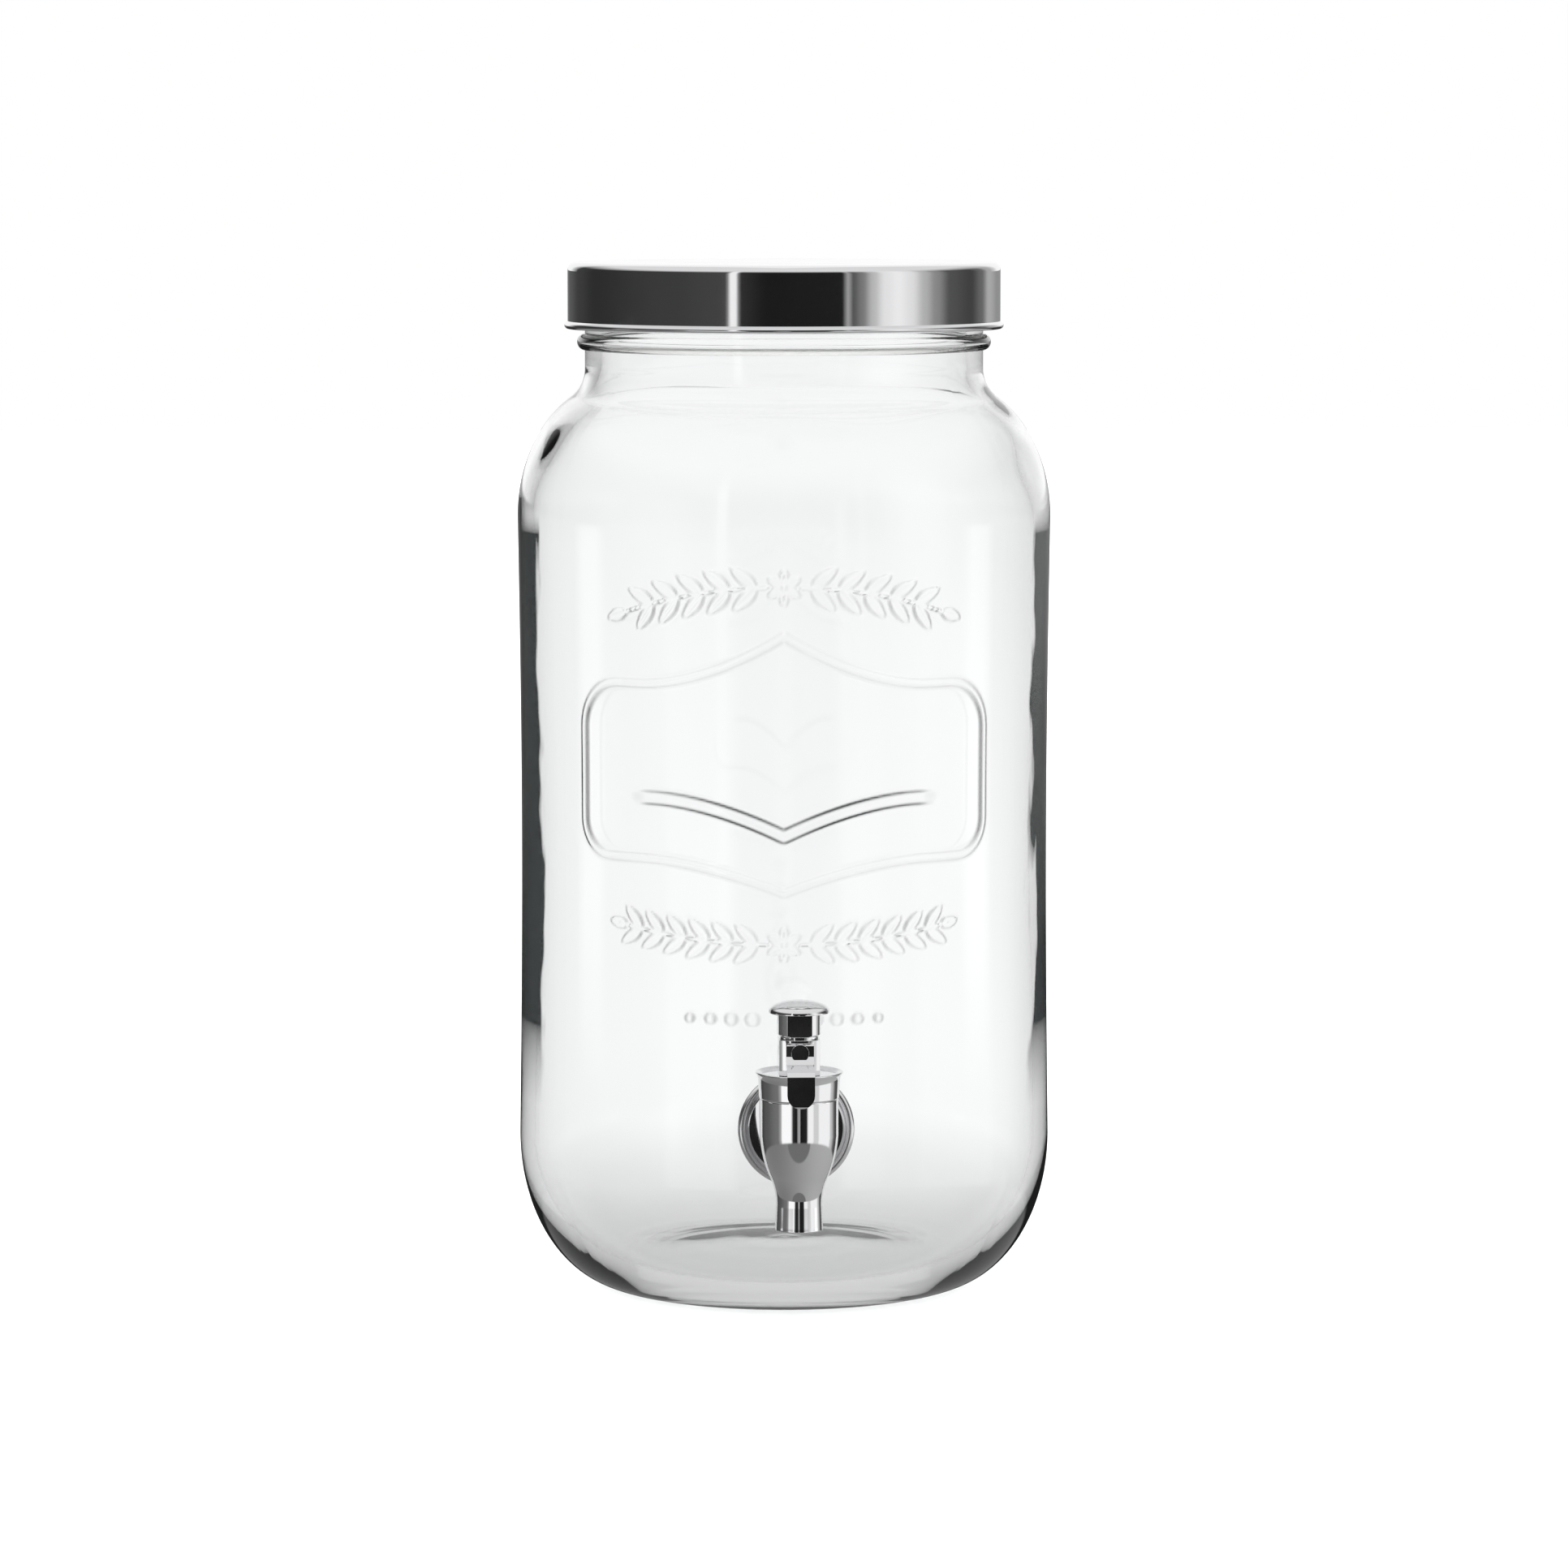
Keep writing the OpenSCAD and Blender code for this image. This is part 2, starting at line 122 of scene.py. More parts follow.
# tap
TAP_AXIS = (0, (PIN_LOW[1] + PIN_HIGH[1]) / 2, 0)
REACH = -TAP_AXIS[1]
BARREL_R = BODY_HIGH[0]
BARREL_TOP = BODY_HIGH[2]
SPOUT_END = BODY_LOW[2]
SPOUT_R, SPOUT_FLARE, OUTLET_R = 6.85, 0.25, 4.7
BOWL_Z, BOWL_H, BOWL_FROM, BOWL_BLEND = TAP_Z + 1.2, 22.45, 7, 42.7
SEAT_Z, SEAT_H, CHAMBER_R = TAP_Z - 11.6, 2.8, 7.4
LEDGE_Z, SOCKET_R = TAP_Z + 4.2, 9.0
SHANK_R, SHANK_END, COLLAR_R, INLET_R = 7.8, -BODY_HIGH[1], 8.6, 3.9
SHANK_PITCH, SHANK_THREAD = 1.5, 0.55
FLANGE_R, FLANGE_T, DISH_D = FLANGE_HIGH[0], 2.8, 1.2
FLANGE_Y = -FLANGE_HIGH[1]
FLANGE_RIM = 3.0
BONNET_R, BONNET_TOP = BONNET_HIGH[0], BONNET_HIGH[2]

# spring
SPRING_LOW, SPRING_HIGH = box_mm("return_spring")
COIL_R, WIRE_R, COIL_TURNS = 4.55, 0.45, 7

# moulded ornament: its middle faces 2.4 degrees left of the tap, and the camera stands in front of it
ORNAMENT_TURN = math.radians(-2.4)
ORNAMENT_LOW, ORNAMENT_HIGH = 84.0, 236.0
ORNAMENT_HALF = 82.0
FINE_STEP = 0.55
RELIEF, RIBBON_RELIEF = 0.65, 0.85
LINE_HALF, STEM_HALF, RIBBON_HALF, RIBBON_FLAT = 1.9, 0.8, 2.5, 0.35
# plaque: half width, and the peak, flat and corner radius of its top and its bottom edge
PLAQUE_HALF, PLAQUE_REACH = 68.0, 46.0
PLAQUE_TOP = (208.5, 193.5, 14.0)
PLAQUE_LOW = (131.5, 141.0, 11.0)
# ribbon: height of its middle and of its ends, reach of its bend, half length and length of its faded end
RIBBON_Z, RIBBON_END_Z, RIBBON_REACH, RIBBON_LENGTH, RIBBON_FADE = 148.5, 159.3, 42.0, 50.0, 9.0
# garlands: height of the middle and of the ends, and length of a leaf
GARLAND_HALF = 50.0
GARLANDS = ((223.0, 215.0, 11.0), (116.0, 120.3, 10.0))
BEADS_Z, BEAD_STEP, BEADS_FROM = 93.5, 6.5, 3.0

# glass: its clear colour, and the shade painted into it at the sides, on the relief and at the heel
CLEAR_TINT, PAINTED_SHADE_COLOUR = (0.985, 0.99, 0.99, 1), (0.004, 0.005, 0.005, 1)
# how dark the shade painted at the jar's heel is
HEEL_PAINTED_SHADE = 0.26
# painted shade at the jar's sides: how nearly edge on the side is seen where it starts and where it is full
EDGE_FROM, EDGE_TO = 0.58, 0.61  # how nearly edge on the side is seen where its tint starts and is full
# the heights in metres over which the painted shade fades in, and out again
RELIEF_BAND = ((0.080, 0.086), (0.234, 0.238))
RIBBON_BAND = ((0.145, 0.147), (0.161, 0.163))
EDGE_BAND = ((0.060, 0.085), (0.236, 0.242))
HEEL_FADE = (0.006, 0.04)

# studio light, where 1 is white in the picture
BACKDROP = 1.0
BEHIND_GLASS, OVER_GLASS = 0.99, 0.45
LAMPS = 2.2
CEILING = 0.8
SIDE_STRIPS = 1.1
INSIDE_GLASS, INSIDE_BASE = 0.5, 0.15
TABLE, TABLE_SLOPE, TABLE_SHADE = 0.33, 0.13, 0.17
# the shade on the table: half its angle across, half its height and its middle
SHADE_HALF, SHADE_TALL, SHADE_Z = 0.6, 0.27, -0.33
# where these begin and where they are full, as the height of a unit direction
TABLE_LIGHTS_Z, TABLE_Z = (-0.08, -0.125), (-0.3, -0.325)
CEILING_Z, OVER_GLASS_Z, BASE_Z = (0.3, 0.6), (0.12, 0.4), (0, -0.08)
# side strips: angle to either side, and where they fade at their sides, bottom and top
STRIP_AT, STRIP_SIDE = 1.62, (0.17, 0.07)
STRIP_BOTTOM, STRIP_TOP = (-0.132, -0.115), (-0.045, -0.07)
# the backdrop behind the object, as a mirror sees it
BEHIND_SIDE, BEHIND_Z = (2.5, 2.75), (-0.012, 0.004)
# what a mirror sees at eye level and lower down: (degrees to the right of the camera, brightness)
EYE_LEVEL = [
    (-180, 0.3), (-158, 0.1), (-140, 0.05), (-120, 0.03), (-60, 0.05), (-36, 0.06), (-30, 0.07),
    (-28.5, 1.0), (-25, 1.0), (-23.5, 0.03), (-8, 0.012), (31, 0.014), (34, 0.4), (36.5, 0.1), (42, 0.22),
    (48, 0.55), (55, 0.88), (63, 0.97), (71, 0.85), (80, 0.5), (88, 0.28), (99, 0.09), (118, 0.06), (130, 0.15),
    (140, 0.45), (158, 0.3),
]
TABLE_LEVEL = [
    (-180, 0.02), (-158, 0.03), (-140, 0.05), (-110, 0.1), (-65, 0.18), (-55, 0.4), (-50, 1.1),
    (-25, 1.1), (-17, 0.03), (-7, 0.012), (-1, 0.4), (2.6, 0.4), (4.2, 0.012), (22, 0.02), (28, 1.0), (40, 1.0),
    (46, 0.7), (57, 0.7), (63, 1.0), (99, 1.0), (107, 0.6), (128, 0.09), (147, 0.04), (170, 0.02),
]

# ---------------------------------------------------------------- curves


def arc(cx, cz, rx, rz, start, stop, n):
    a = np.radians(np.linspace(start, stop, n + 1))
    return np.column_stack([cx + rx * np.cos(a), cz + rz * np.sin(a)])


def shoulder(cx, cz, rx, rz, to, neck, n, up=1):
    """An ellipse from its widest point to angle `to`, then a fillet that ends upright at radius `neck`."""
    t = math.radians(to)
    end = np.array([cx + rx * math.cos(t), rz * math.sin(t)])
    lean = math.atan2(rx * math.sin(t), rz * math.cos(t))
    fillet = (end[0] - neck) / (1 - math.cos(lean))
    top = end[1] + fillet * math.sin(lean)
    a = np.linspace(lean, 0, n + 1)[1:]
    bend = np.column_stack([neck + fillet * (1 - np.cos(a)), top - fillet * np.sin(a)])
    curve = np.vstack([arc(cx, 0, rx, rz, 0, to, 2 * n), bend])
    return np.column_stack([curve[:, 0], cz + up * curve[:, 1]])


def line(a, b, step):
    n = max(1, int(round(math.dist(a, b) / step)))
    return np.linspace(a, b, n + 1)


def join(*curves):
    """One outline from several, without doubled points."""
    points = np.vstack(curves)
    keep = np.r_[True, np.linalg.norm(np.diff(points, axis=0), axis=1) > 1e-4]
    return points[keep]


def smooth(x):
    x = np.clip(x, 0, 1)
    return x * x * (3 - 2 * x)


# ---------------------------------------------------------------- mesh helpers


def link_object(name, mesh):
    ob = bpy.data.objects.new(name, mesh)
    scene.collection.objects.link(ob)
    return ob


def finish_piece(ob, body, node, sharp=40):
    """Smooths a piece up to an angle, and lets it ride on a body in a CAD node's place."""
    ob.data.shade_smooth()
    ob.data.set_sharp_from_angle(angle=math.radians(sharp))
    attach(ob, body)
    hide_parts(node)
    return ob


def apply_modifiers(ob):
    """Puts an object's evaluated mesh in the place of its own, and drops its modifiers."""
    made = bpy.data.meshes.new_from_object(ob.evaluated_get(bpy.context.evaluated_depsgraph_get()))
    ob.modifiers.clear()
    ob.data = made


def grid_mesh(name, grid, close_rows):
    """A mesh through a grid of points [row, column] in millimetres. Every row is a closed ring. With close_rows
    the last row joins the first. Without it, a point in the middle of the first and the last row caps each."""
    rows, cols = grid.shape[:2]
    index = np.arange(rows * cols).reshape(rows, cols)
    if close_rows:
        index = np.vstack([index, index[:1]])
    a, b = index[:-1], index[1:]
    quads = np.stack([a, np.roll(a, -1, 1), np.roll(b, -1, 1), b], -1).reshape(-1, 4)
    points = grid.reshape(-1, 3)
    faces = quads.tolist()
    if not close_rows:
        points = np.vstack([points, grid[0].mean(0), grid[-1].mean(0)])
        low, high = rows * cols, rows * cols + 1
        ring = np.arange(cols)
        faces += [[low, (j + 1) % cols, j] for j in ring]
        last = (rows - 1) * cols
        faces += [[high, last + j, last + (j + 1) % cols] for j in ring]
    mesh = bpy.data.meshes.new(name)
    mesh.from_pydata((points * MM).tolist(), [], faces)
    mesh.validate()
    return mesh


def lathe(name, outline, n, axis="Z", origin=(0, 0, 0), closed=True):
    """Turns an outline of (radius, height), which runs anticlockwise, about an axis through origin."""
    a = np.linspace(0, 2 * math.pi, n, endpoint=False)
    r, h = outline[:, 0][:, None], outline[:, 1][:, None]
    x, y, z = r * np.cos(a), r * np.sin(a), h + 0 * a
    if axis == "-Y":
        x, y, z = x, -z, y
    grid = np.stack([x, y, z], -1) + np.array(origin)
    return grid_mesh(name, grid, closed)


def boolean(ob, tool_mesh, operation):
    tool = link_object("tool", tool_mesh)
    mod = ob.modifiers.new("cut", "BOOLEAN")
    mod.operation = operation
    mod.solver = "MANIFOLD"
    mod.object = tool
    apply_modifiers(ob)
    bpy.data.objects.remove(tool)


def rod(radius, low, high):
    """A cylinder that points out through the tap hole, from distance low to distance high."""
    outline = np.array([[radius, low], [radius, high]])
    return lathe("rod", outline, 96, "-Y", (0, 0, TAP_Z), closed=False)


# ---------------------------------------------------------------- jar


def panel(z, inset=0.0):
    t = (z - HEEL_H) / (SHOULDER_Z - HEEL_H)
    return JAR_R - inset - RECESS * np.sin(np.pi * np.clip(t, 0, 1))


def jar_outside():
    low = np.arange(HEEL_H, ORNAMENT_LOW, 3.0)
    fine = np.arange(ORNAMENT_LOW, ORNAMENT_HIGH, FINE_STEP)
    z = np.r_[low, fine, SHOULDER_Z]
    dome = [[FOOT_IN_R * t, PUNT_H * (1 - t * t)] for t in np.linspace(0.04, 0.97, 9)]
    up = shoulder(JAR_R - SHOULDER_W, SHOULDER_Z, SHOULDER_W, SHOULDER_H, BLEND_FROM, NECK_R, 16)
    return join(
        dome,
        [[FOOT_IN_R + 0.4, 0.1], [FOOT_IN_R + 1.2, 0], [FOOT_R - 1, 0]],
        arc(FOOT_R, HEEL_H, JAR_R - FOOT_R, HEEL_H, -90, 0, 32),
        np.column_stack([panel(z), z]),
        up,
        line(up[-1], [NECK_R, BEAD_Z - BEAD_H], 2),
        arc(NECK_R, BEAD_Z, BEAD_OUT, BEAD_H, -90, 90, 14),
        line([NECK_R, BEAD_Z + BEAD_H], [NECK_R, RIM_Z - RIM_ROUND], 0.35),
        arc(NECK_R - RIM_ROUND, RIM_Z - RIM_ROUND, RIM_ROUND, RIM_ROUND, 0, 90, 6),
    )


def jar_inside():
    bore = NECK_R - WALL
    width, height = SHOULDER_W - WALL, SHOULDER_H - WALL
    up = shoulder(JAR_R - SHOULDER_W, SHOULDER_Z, width, height, BLEND_FROM, bore, 14)
    z = np.arange(SHOULDER_Z - 5, HEEL_H, -5.0)
    heel = arc(FOOT_R - 2, HEEL_H, JAR_R - WALL - FOOT_R + 2, HEEL_H - FLOOR_T, 0, -90, 28)
    r = FOOT_R - 2
    t = np.linspace(0.96, 0.04, 60)
    rings = FLOOR_RING * np.cos(2 * math.pi * r * t / FLOOR_RING_STEP)
    floor = np.column_stack([r * t, FLOOR_T + FLOOR_DOME * (1 - t * t) + rings])
    return join(
        arc(bore + RIM_ROUND, RIM_Z - RIM_ROUND, RIM_ROUND, RIM_ROUND, 90, 180, 6),
        line([bore, RIM_Z - RIM_ROUND - 1], up[-1], 3),
        up[::-1],
        np.column_stack([panel(z, WALL), z]),
        heel,
        floor,
    )


def segment_distance(s, z, a, b):
    """Distance of the points (s, z) from the segment a-b."""
    d = b - a
    t = np.clip(((s - a[0]) * d[0] + (z - a[1]) * d[1]) / max(d @ d, 1e-9), 0, 1)
    return np.hypot(s - a[0] - t * d[0], z - a[1] - t * d[1])


def raise_line(relief, s, z, points, half, height=RELIEF, flat=0.0):
    """A ridge along a line of points, half its width to each side. Its top is flat over a share of that."""
    points = np.asarray(points, float)
    for a, b in zip(points[:-1], points[1:]):
        near = (np.abs(s - (a[0] + b[0]) / 2) < abs(a[0] - b[0]) / 2 + half) & (
            np.abs(z - (a[1] + b[1]) / 2) < abs(a[1] - b[1]) / 2 + half
        )
        if near.any():
            d = segment_distance(s[near], z[near], a, b)
            side = np.clip((d / half - flat) / (1 - flat), 0, 1)
            bump = height * (1 - side**2) ** 1.3
            relief[near] = np.maximum(relief[near], bump)


def raise_leaf(relief, s, z, root, angle, length, width):
    """A pointed leaf with a sunk midrib."""
    ca, sa = math.cos(angle), math.sin(angle)
    u = ((s - root[0]) * ca + (z - root[1]) * sa) / length
    v = (-(s - root[0]) * sa + (z - root[1]) * ca) / (width / 2)
    inside = (u > 0) & (u < 1)
    edge = np.where(inside, np.sin(np.pi * np.clip(u, 0, 1) ** 0.8), 0.001)
    t = np.abs(v) / np.maximum(edge, 0.001)
    bump = np.clip(1 - t**2, 0, 1) ** 0.6 * np.clip(edge * 2.2, 0, 1)
    rib = 1 - 0.55 * np.exp(-((v * width / 2 / 0.35) ** 2))
    relief[:] = np.maximum(relief, np.where(inside, RELIEF * bump * rib, 0))


def raise_bead(relief, s, z, centre, radius, height=RELIEF):
    d = np.hypot(s - centre[0], z - centre[1]) / radius
    relief[:] = np.maximum(relief, height * np.sqrt(np.clip(1 - d * d, 0, 1)))


def mirrored(points):
    """A line given from its middle out to the right, made whole."""
    points = np.asarray(points, float)
    left = points[:0:-1] * [-1, 1]
    return np.vstack([left, points])


def bracket_edge(peak_z, flat_z, reach, half):
    """Half of a plaque's top or bottom edge: a point in the middle that sweeps out to a flat side."""
    s = np.linspace(0, half, 28)
    t = np.clip(s / reach, 0, 1)
    return np.column_stack([s, flat_z + (peak_z - flat_z) * (1 - t) ** 1.9])


def plaque():
    """Outline of the plaque as one closed line."""
    top_peak, top_z, top_r = PLAQUE_TOP
    low_peak, low_z, low_r = PLAQUE_LOW
    top = bracket_edge(top_peak, top_z, PLAQUE_REACH, PLAQUE_HALF - top_r)
    low = bracket_edge(low_peak, low_z, PLAQUE_REACH, PLAQUE_HALF - low_r)
    top_corner = arc(PLAQUE_HALF - top_r, top_z - top_r, top_r, top_r, 90, 0, 10)
    low_corner = arc(PLAQUE_HALF - low_r, low_z + low_r, low_r, low_r, 0, -90, 10)
    right = join(top, top_corner, low_corner, low[::-1])
    left = right[::-1] * [-1, 1]
    return join(right, left)


def garland(relief, s, z, middle_z, end_z, leaf):
    """A stem that bends from middle_z to end_z, with a flower in its middle and pairs of leaves along it."""
    half = GARLAND_HALF
    bend = (end_z - middle_z) / half**2
    at = np.linspace(5, half, 24)
    for side in (-1, 1):
        raise_line(relief, s, z, np.column_stack([side * at, middle_z + bend * at**2]), STEM_HALF)
        for x in np.arange(8.0, half - 4, leaf * 0.74):
            slope = math.atan(2 * bend * x)
            root = (side * x, middle_z + bend * x * x)
            for tip in (1, -1):
                angle = slope + tip * math.radians(40)
                if side < 0:
                    angle = math.pi - angle
                raise_leaf(relief, s, z, root, angle, leaf, leaf * 0.42)
        end = (side * half, middle_z + bend * half * half)
        slope = math.atan(2 * bend * half)
        raise_leaf(relief, s, z, end, slope if side > 0 else math.pi - slope, leaf * 0.8, leaf * 0.42)
    for k in range(6):
        a = math.radians(60 * k + 30)
        raise_leaf(relief, s, z, (0.8 * math.cos(a), middle_z + 0.8 * math.sin(a)), a, 5.4, 3.4)
    raise_bead(relief, s, z, (0, middle_z), 1.4, RELIEF * 1.2)


def ornament(s, z):
    """Height of the moulded relief, in millimetres, at arc length s and height z."""
    relief = np.zeros_like(s)
    raise_line(relief, s, z, plaque(), LINE_HALF)
    ribbon = np.zeros_like(s)
    path = mirrored(bracket_edge(RIBBON_Z, RIBBON_END_Z, RIBBON_REACH, RIBBON_LENGTH))
    raise_line(ribbon, s, z, path, RIBBON_HALF, RIBBON_RELIEF, RIBBON_FLAT)
    relief[:] = np.maximum(relief, ribbon * smooth((RIBBON_LENGTH + 1 - np.abs(s)) / RIBBON_FADE))
    for middle_z, end_z, leaf in GARLANDS:
        garland(relief, s, z, middle_z, end_z, leaf)
    for k in range(1, 5):
        for side in (-1, 1):
            raise_bead(relief, s, z, (side * (BEAD_STEP * k + BEADS_FROM), BEADS_Z), 2.6 - 0.25 * k)
    return relief


def jar_mesh():
    half = ORNAMENT_HALF / JAR_R
    fine = np.arange(-ORNAMENT_HALF, ORNAMENT_HALF, FINE_STEP) / JAR_R
    coarse = np.linspace(half, 2 * math.pi - half, 110, endpoint=False)
    turn = np.r_[fine, coarse[1:]]
    outside, inside = jar_outside(), jar_inside()
    outline = np.vstack([outside, inside])
    r = np.repeat(outline[:, :1], len(turn), axis=1)
    z = np.repeat(outline[:, 1:], len(turn), axis=1)
    is_outside = np.arange(len(outline)) < len(outside)

    rows = is_outside & (outline[:, 1] > ORNAMENT_LOW) & (outline[:, 1] < ORNAMENT_HIGH)
    s = np.broadcast_to(turn * JAR_R, z.shape)[rows]
    relief = np.zeros_like(s)
    cols = np.abs(turn) < half
    relief[:, cols] = ornament(s[:, cols], z[rows][:, cols])
    r[rows] += relief

    azimuth = turn + ORNAMENT_TURN
    rows = is_outside & (outline[:, 1] > BEAD_Z + BEAD_H) & (outline[:, 1] < RIM_Z - RIM_ROUND)
    for lap in range(2):
        angle = np.mod(azimuth, 2 * math.pi) / (2 * math.pi) + lap
        fade = smooth(np.minimum(angle, THREAD_TURNS - angle) * 360 / THREAD_FADE)
        off = z[rows] - (THREAD_Z + THREAD_LEAD * angle)
        r[rows] += THREAD_H * fade * smooth((THREAD_HALF - np.abs(off)) / THREAD_EDGE)

    rows = ~is_outside & (outline[:, 1] < RIM_Z - 30) & (outline[:, 0] > 20)
    wave = 0.10 * np.sin(3 * turn + z / 41) + 0.06 * np.sin(7 * turn - z / 23 + 1)
    wave += 0.05 * np.sin(z / 17 + 2 * turn)
    r[rows] += wave[rows] * smooth((z[rows] - 12) / 30)
    swirl = np.sin(5 * turn + z / 6) + 0.7 * np.sin(9 * turn - z / 9 + 2)
    above = (z[rows] - SHOULDER_Z - WAVE_ABOVE) / WAVE_REACH
    r[rows] += SHOULDER_WAVE * swirl[rows] * np.exp(-(above**2))

    theta = azimuth - math.pi / 2
    grid = np.stack([r * np.cos(theta), r * np.sin(theta), z], -1)
    return grid_mesh("jar_glass", grid, close_rows=False)


def make_jar():
    ob = link_object("jar_glass", jar_mesh())
    boolean(ob, rod(PAD_OUT_R, JAR_R - 2.5, PAD_OUT_Y), "UNION")
    boolean(ob, rod(PAD_IN_R, PAD_IN_Y, JAR_R - 2.5), "UNION")
    boolean(ob, rod(HOLE_R, PAD_IN_Y - 1, PAD_OUT_Y + 1), "DIFFERENCE")
    return finish_piece(ob, "jar", "jar", 50)


# ---------------------------------------------------------------- lid and tap


def make_lid():
    """Spun shell with a rounded top edge and a curl round its lower edge."""
    corner, curl = LID_CORNER, LID_CURL
    curl_z = LID_BOTTOM + curl
    inner = LID_R - SHELL_T
    outline = join(
        line([1, LID_TOP - SHELL_T], [LID_R - corner - 0.5, LID_TOP - SHELL_T], 8),
        arc(LID_R - corner, LID_TOP - corner, corner - SHELL_T, corner - SHELL_T, 90, 0, 8),
        line([inner, LID_TOP - corner - 0.2], [inner, curl_z + 1.8], 2),
        [[inner, curl_z + 1.2]],
        arc(LID_R, curl_z, curl, curl, 160, 415, 20),
        [[LID_R, curl_z + 1.3]],
        line([LID_R, curl_z + 1.8], [LID_R, LID_TOP - corner - 0.2], 2),
        arc(LID_R - corner, LID_TOP - corner, corner, corner, 0, 90, 12),
        line([LID_R - corner - 0.5, LID_TOP], [1, LID_TOP], 8),
    )
    mesh = lathe("lid_spun_shell", outline, 192, closed=False)
    return finish_piece(link_object("lid_spun_shell", mesh), "lid", "lid_shell")


def make_tap_body():
    """Barrel, bowl and spout turned in one, joined to the collar and the threaded shank."""
    start = math.radians(BOWL_FROM)
    widest, top = BARREL_R / math.cos(start), BOWL_Z + BOWL_H * math.sin(start)
    bowl = shoulder(0, top, widest, BOWL_H, BOWL_BLEND, SPOUT_R, 28, -1)
    bowl = np.vstack([[BARREL_R, BOWL_Z], bowl[bowl[:, 1] < BOWL_Z - 0.2]])
    outline = join(
        arc(OUTLET_R + 0.3, SPOUT_END + 0.3, 0.3, 0.3, 180, 270, 4),
        arc(SPOUT_R + SPOUT_FLARE - 0.4, SPOUT_END + 0.4, 0.4, 0.4, 270, 360, 6),
        line([SPOUT_R + SPOUT_FLARE - 0.01, SPOUT_END + 0.6], bowl[-1], 1),
        bowl[::-1],
        [[BARREL_R, BOWL_Z + 0.1]],
        line([BARREL_R, BOWL_Z + 0.3], [BARREL_R, BARREL_TOP - 0.5], 2),
        arc(BARREL_R - 0.35, BARREL_TOP - 0.35, 0.35, 0.35, 0, 90, 6),
        [[SOCKET_R, BARREL_TOP], [SOCKET_R, LEDGE_Z], [CHAMBER_R, LEDGE_Z]],
        [[CHAMBER_R, SEAT_Z + SEAT_H], [OUTLET_R, SEAT_Z]],
    )
    ob = link_object("tap_casting", lathe("tap_casting", outline, 160, origin=TAP_AXIS))
    boolean(ob, shank_mesh(), "UNION")
    boolean(ob, rod(COLLAR_R, FLANGE_Y + FLANGE_T - DISH_D, REACH - CHAMBER_R - 1), "UNION")
    boolean(ob, rod(INLET_R, SHANK_END - 1, REACH), "DIFFERENCE")
    return finish_piece(ob, "jar", "tap_body", 35)


def shank_mesh():
    """Threaded shank that runs through the glass, with a chamfer at its end in the jar."""
    a = np.linspace(0, 2 * math.pi, 72, endpoint=False)
    along = np.arange(SHANK_END, FLANGE_Y + 0.5, SHANK_PITCH / 8)
    phase = along[:, None] / SHANK_PITCH - a / (2 * math.pi)
    wave = SHANK_THREAD * np.clip(np.abs(2 * np.mod(phase, 1) - 1) * 1.5 - 0.25, 0, 1)
    radius = SHANK_R - wave - 0.9 * np.clip(1 - (along[:, None] - SHANK_END) / 0.9, 0, 1)
    shank = np.stack([radius * np.cos(a), -along[:, None] + 0 * a, TAP_Z + radius * np.sin(a)], -1)
    return grid_mesh("shank", shank, close_rows=False)


def make_bonnet():
    """Flared cap with a rounded rim and a dished top, and the guide and spigot below it."""
    guide_r, pocket_r, spigot_r, low_r = 3.05, 5.6, SOCKET_R - 0.05, BARREL_R + 0.2
    dish_r, dish_z, lip = BONNET_R - 1.7, BONNET_TOP - 0.8, 0.32
    guide_z = dish_z - 4.9
    t = np.linspace(0, 1, 14)
    flare_z = BARREL_TOP + 0.35 + (BONNET_TOP - 0.8 - BARREL_TOP) * t
    flare = np.column_stack([low_r + 0.35 * t + (BONNET_R - low_r - 0.35) * t**9, flare_z])
    outline = join(
        [[guide_r, guide_z], [pocket_r, guide_z], [pocket_r, BONNET_LOW[2]], [spigot_r, BONNET_LOW[2]]],
        [[spigot_r, BARREL_TOP], [low_r - 0.3, BARREL_TOP]],
        arc(low_r - 0.3, BARREL_TOP + 0.3, 0.3, 0.3, 270, 352, 5),
        flare,
        arc(BONNET_R - lip, BONNET_TOP - lip, lip, lip, 0, 90, 6),
        [[BONNET_R - 0.75, BONNET_TOP], [BONNET_R - 0.95, BONNET_TOP - 0.08]],
        [[dish_r + 0.1, dish_z + 0.1], [dish_r - 0.2, dish_z], [dish_r - 0.5, dish_z]],
        [[guide_r + 0.4, dish_z], [guide_r + 0.15, dish_z], [guide_r, dish_z - 0.15]],
    )
    mesh = lathe("bonnet_cap", outline, 160, origin=TAP_AXIS)
    return finish_piece(link_object("bonnet_cap", mesh), "jar", "bonnet")


def make_flange():
    """Round plate behind the tap: a rolled rim round a shallow dish."""
    bore, edge = SHANK_R + 0.1, 1.4
    outline = join(
        [[bore, 0], [FLANGE_R - 0.6, 0]],
        arc(FLANGE_R - edge, edge, edge, edge, -60, 150, 24),
        [[FLANGE_R - 3.1, FLANGE_T - DISH_D + 0.1], [FLANGE_R - 3.3, FLANGE_T - DISH_D]],
        [[FLANGE_R - 3.5, FLANGE_T - DISH_D], [FLANGE_R - 4, FLANGE_T - DISH_D]],
        [[COLLAR_R + 0.2, FLANGE_T - DISH_D], [bore, FLANGE_T - DISH_D]],
    )
    outline = outline[::-1] + [0, FLANGE_Y]
    mesh = lathe("dished_plate", outline, 160, "-Y", (0, 0, TAP_Z))
    return finish_piece(link_object("dished_plate", mesh), "jar", "tap_flange")


